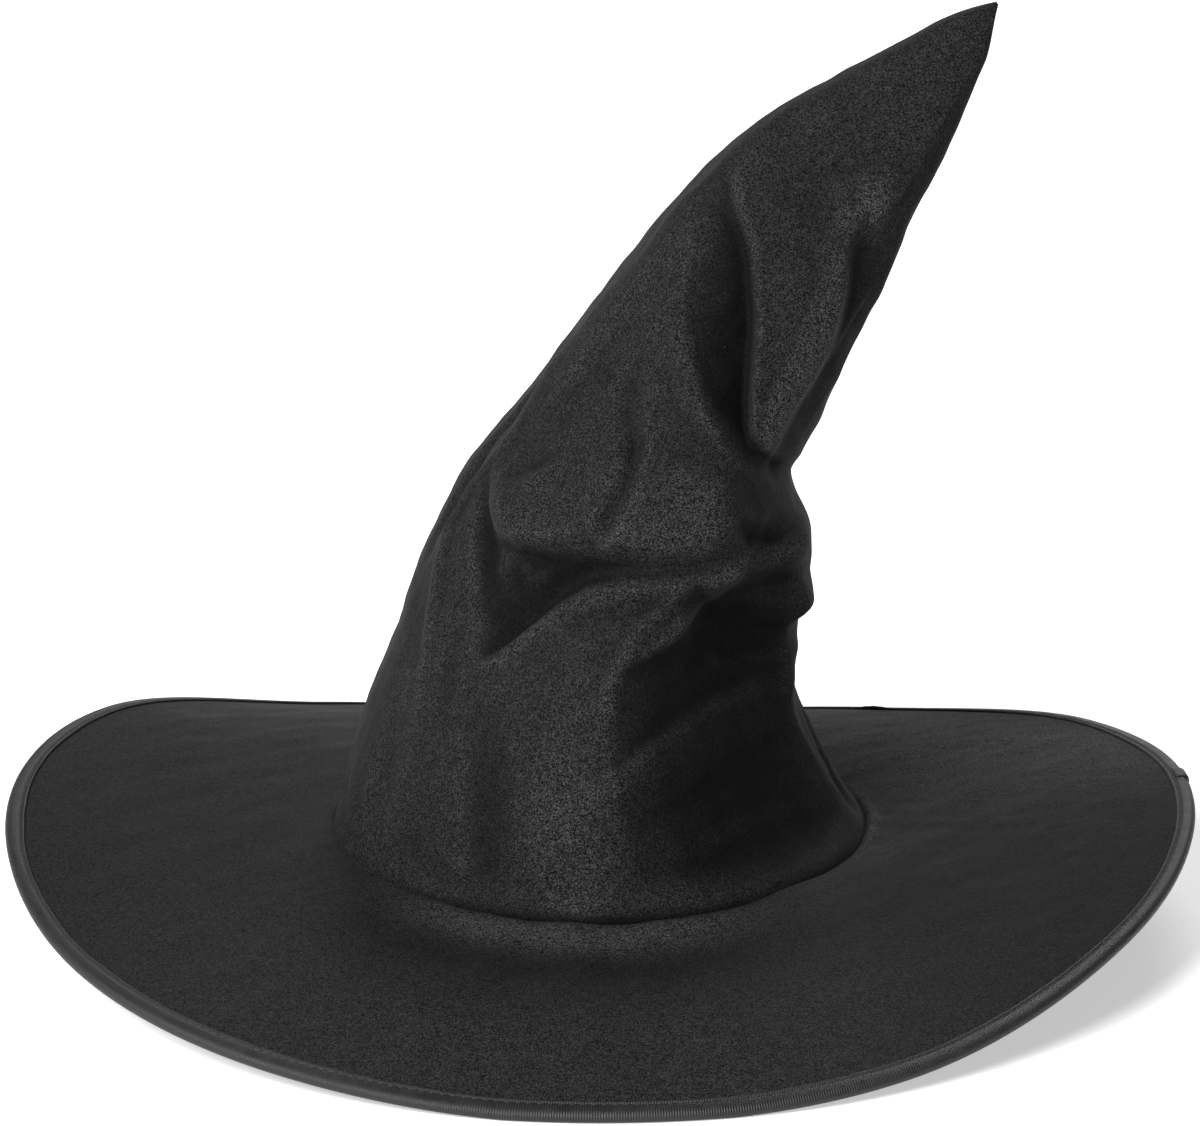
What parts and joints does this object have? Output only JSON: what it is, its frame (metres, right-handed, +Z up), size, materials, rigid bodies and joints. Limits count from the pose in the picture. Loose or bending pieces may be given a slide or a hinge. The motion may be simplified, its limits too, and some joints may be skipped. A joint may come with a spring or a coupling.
{
  "type": "costume witch hat",
  "caption": "Soft black velour witch hat with a folded pointed crown and a wide, wired brim with a bound edge.",
  "frame": {"origin": "on the floor under the middle of the brim, with the hat standing on the front and back of its brim", "axes": "+Z up, the wearer facing -Y, +X towards the side that the tip leans to"},
  "size_m": [0.4126, 0.4074, 0.3244],
  "materials": {
    "velour": "matt brushed velour with a short nap",
    "lining": "thin plain-weave lining",
    "satin_tape": "semi-matt ribbed tape",
    "thread": "polyester sewing thread",
    "label_cloth": "blank woven label",
    "stiffener": "stiff non-woven interlining",
    "wire": "drawn steel millinery wire"
  },
  "bodies": {
    "hat": {"crown_lower": "velour", "lining_lower": "lining", "sweatband": "satin_tape", "sweatband_lap": "satin_tape", "sweatband_stitching": "thread", "care_label": "label_cloth", "brim_top_cover": "velour", "brim_stiffener": "stiffener", "brim_under_cover": "velour", "brim_wire": "wire", "wire_sleeve": "wire", "brim_binding": "satin_tape", "binding_lap": "satin_tape", "binding_stitching_top": "thread", "binding_stitching_under": "thread"},
    "tip": {"crown_tip": "velour", "lining_tip": "lining"}
  },
  "joints": [
    {"name": "tip_fold", "type": "hinge", "parent": "hat", "child": "tip", "pos_m": [0.0185, 0, 0.1699], "axis": [0, 1, 0], "range_deg": [-30, 35]}
  ]
}
